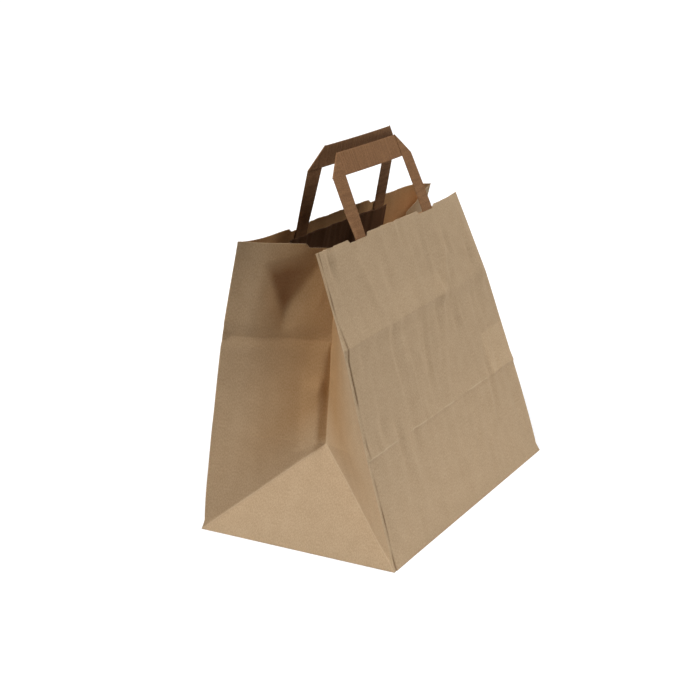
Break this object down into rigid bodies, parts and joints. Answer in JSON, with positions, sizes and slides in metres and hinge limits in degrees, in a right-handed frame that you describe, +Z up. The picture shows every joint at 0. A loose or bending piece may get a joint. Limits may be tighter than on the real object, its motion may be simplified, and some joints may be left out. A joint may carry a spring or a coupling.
{
  "type": "shopping bag",
  "caption": "Brown paper carrier bag standing open, with a folded block bottom, tucked side gussets and flat paper strip handles.",
  "frame": {"origin": "middle of the base, on the surface that the bag stands on", "axes": "+X to the right along the front panel, +Y to the back panel, +Z up"},
  "size_m": [0.3201, 0.2, 0.3453],
  "materials": {
    "kraft_paper": "matte",
    "handle_kraft": "matte"
  },
  "bodies": {
    "root": {"bag_body": "kraft_paper", "front_handle": "handle_kraft", "back_handle": "handle_kraft", "front_handle_patch": "handle_kraft", "back_handle_patch": "handle_kraft"}
  },
  "joints": []
}
